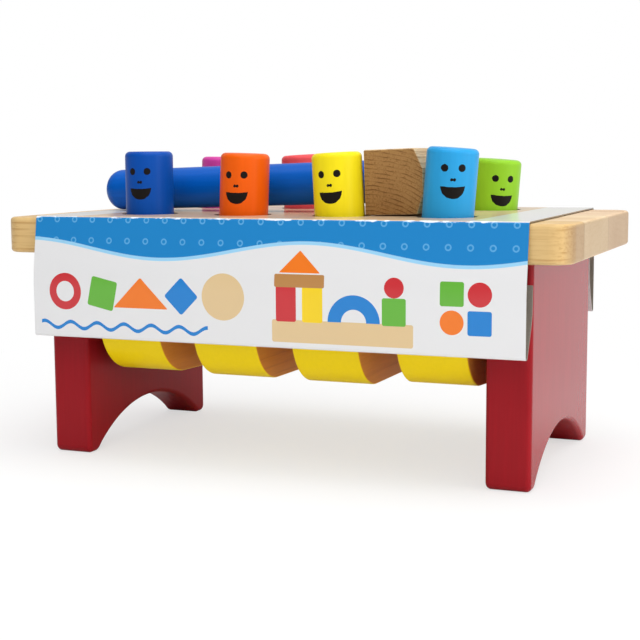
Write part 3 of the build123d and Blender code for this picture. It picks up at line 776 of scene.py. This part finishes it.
def card_finish(name):
    """Varnished print outside, grey board inside, and dark brown cut edges that are partly a painted
    shadow line.
    """
    material, tree, output = new_finish(name)
    place = add_node(tree, "TexCoord")
    at = add_node(tree, "SeparateXYZ", {}, {0: place.outputs["Object"]})
    facing = add_node(tree, "SeparateXYZ", {}, {0: place.outputs["Normal"]})
    depth = add_node(tree, "Math", {"operation": "ABSOLUTE"}, {0: at.outputs["Y"]}).outputs[0]
    sheet = add_node(tree, "VectorMath", {"operation": "MULTIPLY", 1: (1.0, 0.0, 1.0)},
                     {0: place.outputs["Object"]}).outputs[0]

    colour = add_node(tree, "RGB").outputs[0]
    colour.default_value = paint("E2E2E3")
    for shape in panel_shapes:
        colour = print_shape(tree, sheet, colour, *shape)
    colour = print_wavy_line(tree, at, colour)
    colour = print_blue_band(tree, sheet, at, colour)
    colour = print_top(tree, place, at, facing, colour)
    colour = wear_creases(tree, place, at, depth, colour)

    unprinted = find_unprinted(tree, at, facing, depth)
    fibres = add_node(tree, "TexNoise", {"Scale": 1 / FIBRE_SIZE, "Detail": 3.0},
                      {0: place.outputs["Object"]})
    board = add_node(tree, "Mix", {"data_type": "RGBA", 6: paint("9C9489"), 7: paint("7F776C")},
                     {0: fibres.outputs["Fac"]})
    colour = add_node(tree, "Mix", {"data_type": "RGBA"},
                      {0: unprinted, 6: colour, 7: board.outputs[2]}).outputs[2]
    # the cut edges get a dark brown that is partly the board's own edge and partly a painted shadow line,
    # standing in for the shade in the gap under the sheet's edge
    sideways = add_node(tree, "Math", {"operation": "ABSOLUTE"}, {0: facing.outputs["X"]})
    cut = add_node(tree, "Math", {"operation": "GREATER_THAN", 1: CUT_FACING}, {0: sideways})
    colour = add_node(tree, "Mix", {"data_type": "RGBA", 7: paint("7A6C5C")},
                      {0: cut, 6: colour}).outputs[2]

    rough = add_node(tree, "MapRange", {"To Min": VARNISH_ROUGH, "To Max": BOARD_ROUGH}, {0: unprinted})
    waves = add_node(tree, "TexNoise", {"Scale": 1 / WAVE_SIZE, "Detail": 2.0},
                     {0: place.outputs["Object"]})
    raised = add_node(tree, "Bump", {"Strength": WAVE_BUMP, "Distance": WAVE_HIGH},
                      {"Height": waves.outputs["Fac"]})
    varnish = add_node(tree, "BsdfPrincipled", {"IOR": VARNISH_IOR, "Specular IOR Level": VARNISH_SHINE},
                       {"Base Color": colour, "Roughness": rough, "Normal": raised})
    tree.links.new(varnish.outputs[0], output.inputs[0])
    return material


card = card_finish("card_printed_varnished")
dress("card_sleeve", card)
print("nodes in the card's finish:", len(card.node_tree.nodes))

# %% [markdown]
# ## The floor
#
# The bench stands on a plain pale floor that keeps its soft shadow. Further out the floor turns to plain
# white for the camera, so that no horizon line crosses the picture. It still sends light up into the arches
# and under the see-saws.

# %% Lay the floor
import bmesh

FLOOR_SIZE = 6.0
floor_mesh = bpy.data.meshes.new("floor")
shape = bmesh.new()
bmesh.ops.create_grid(shape, x_segments=1, y_segments=1, size=FLOOR_SIZE)
shape.to_mesh(floor_mesh)
shape.free()
floor = bpy.data.objects.new("floor", floor_mesh)
bpy.context.scene.collection.objects.link(floor)
print("floor in m:", 2 * FLOOR_SIZE)

# %% Whiten the floor further out
SHADOW_PALE = 0.62                      # how much of the shadow below the bench is lifted to white
FADE_FROM, FADE_TO = 0.20, 0.42         # in metres from the middle of the bench
PAPER_ROUGH, PAPER_SHINE = 0.9, 0.1
WHITE = paint("FFFFFF")

floor_paper, tree, output = new_finish("floor_paper_white")
place = add_node(tree, "TexCoord")
away = add_node(tree, "VectorMath", {"operation": "LENGTH"}, {0: place.outputs["Object"]})
fade = add_node(tree, "MapRange", {"interpolation_type": "SMOOTHSTEP", "From Min": FADE_FROM,
                                   "From Max": FADE_TO}, {0: away.outputs["Value"]})
path = add_node(tree, "LightPath")
part = add_node(tree, "MapRange", {"To Min": SHADOW_PALE}, {0: fade})
seen = add_node(tree, "Math", {"operation": "MULTIPLY"}, {0: path.outputs["Is Camera Ray"], 1: part})
mirrored = add_node(tree, "Math", {"operation": "MULTIPLY"}, {0: path.outputs["Is Glossy Ray"], 1: fade})
seen = add_node(tree, "Math", {"operation": "MAXIMUM"}, {0: seen, 1: mirrored})
matt = add_node(tree, "BsdfPrincipled", {"Base Color": paint("F4F4F4"), "Roughness": PAPER_ROUGH,
                                         "Specular IOR Level": PAPER_SHINE})
plain = add_node(tree, "Emission", {"Color": WHITE, "Strength": 1.0})
mixed = add_node(tree, "MixShader", {}, {0: seen, 1: matt, 2: plain})
tree.links.new(mixed.outputs[0], output.inputs[0])
floor_mesh.materials.append(floor_paper)
print("the shadow fades over", round(FADE_TO - FADE_FROM, 2), "m")

# %% [markdown]
# ## The lamps and the room
#
# The light is a plain studio: a large soft lamp above, one to the right, and a weaker one in front, which
# is kept out of the reflections. The right one gives the outer face of the right leg its pale shine. The
# room is white for the camera. For light and reflections it is brighter behind and above than in front,
# where a photographer stands in a darker room, so the front faces keep their full colour.

# %% Hang the lamps
MIDDLE = (0.0, 0.0, 0.07)


def hang_lamp(name, place, size, power):
    """A square soft lamp that looks at the middle of the bench."""
    data = bpy.data.lights.new(name, "AREA")
    data.shape = "SQUARE"
    data.size = size
    data.energy = power
    lamp = bpy.data.objects.new(name, data)
    lamp.location = place
    lamp.rotation_euler = (Vector(MIDDLE) - Vector(place)).to_track_quat("-Z", "Y").to_euler()
    bpy.context.scene.collection.objects.link(lamp)
    return lamp


hang_lamp("lamp_above", (0.10, -0.10, 1.30), 1.2, 9.8)
hang_lamp("lamp_right", (1.30, -0.15, 0.50), 1.0, 6.0)
front_lamp = hang_lamp("lamp_front", (0.30, -0.98, 0.80), 0.9, 5.3)
front_lamp.visible_glossy = False

# %% Light the room
BRIGHT_SIDE = (0.45, 0.60, 0.66)        # towards the back right, above
DARK_LEVEL, BRIGHT_LEVEL = 0.08, 0.72
DARK_BELOW, BRIGHT_ABOVE = -0.6, 0.8    # how far along that side the light starts and stops rising

world = bpy.data.worlds.new("studio")
bpy.context.scene.world = world
world.use_nodes = True
tree = world.node_tree
tree.nodes.clear()
output = tree.nodes.new("ShaderNodeOutputWorld")
toward = add_node(tree, "TexCoord")
side = add_node(tree, "VectorMath", {"operation": "DOT_PRODUCT", 1: BRIGHT_SIDE},
                {0: toward.outputs["Generated"]})
level = add_node(tree, "MapRange", {"From Min": DARK_BELOW, "From Max": BRIGHT_ABOVE, "To Min": DARK_LEVEL,
                                    "To Max": BRIGHT_LEVEL}, {0: side.outputs["Value"]})
room = add_node(tree, "Background", {"Color": WHITE}, {"Strength": level})
backdrop = add_node(tree, "Background", {"Color": WHITE, "Strength": 1.0})
path = add_node(tree, "LightPath")
mixed = add_node(tree, "MixShader", {}, {0: path.outputs["Is Camera Ray"], 1: room, 2: backdrop})
tree.links.new(mixed.outputs[0], output.inputs[0])
bpy.context.scene.view_settings.view_transform = "Standard"
print("room's light from", DARK_LEVEL, "to", BRIGHT_LEVEL)
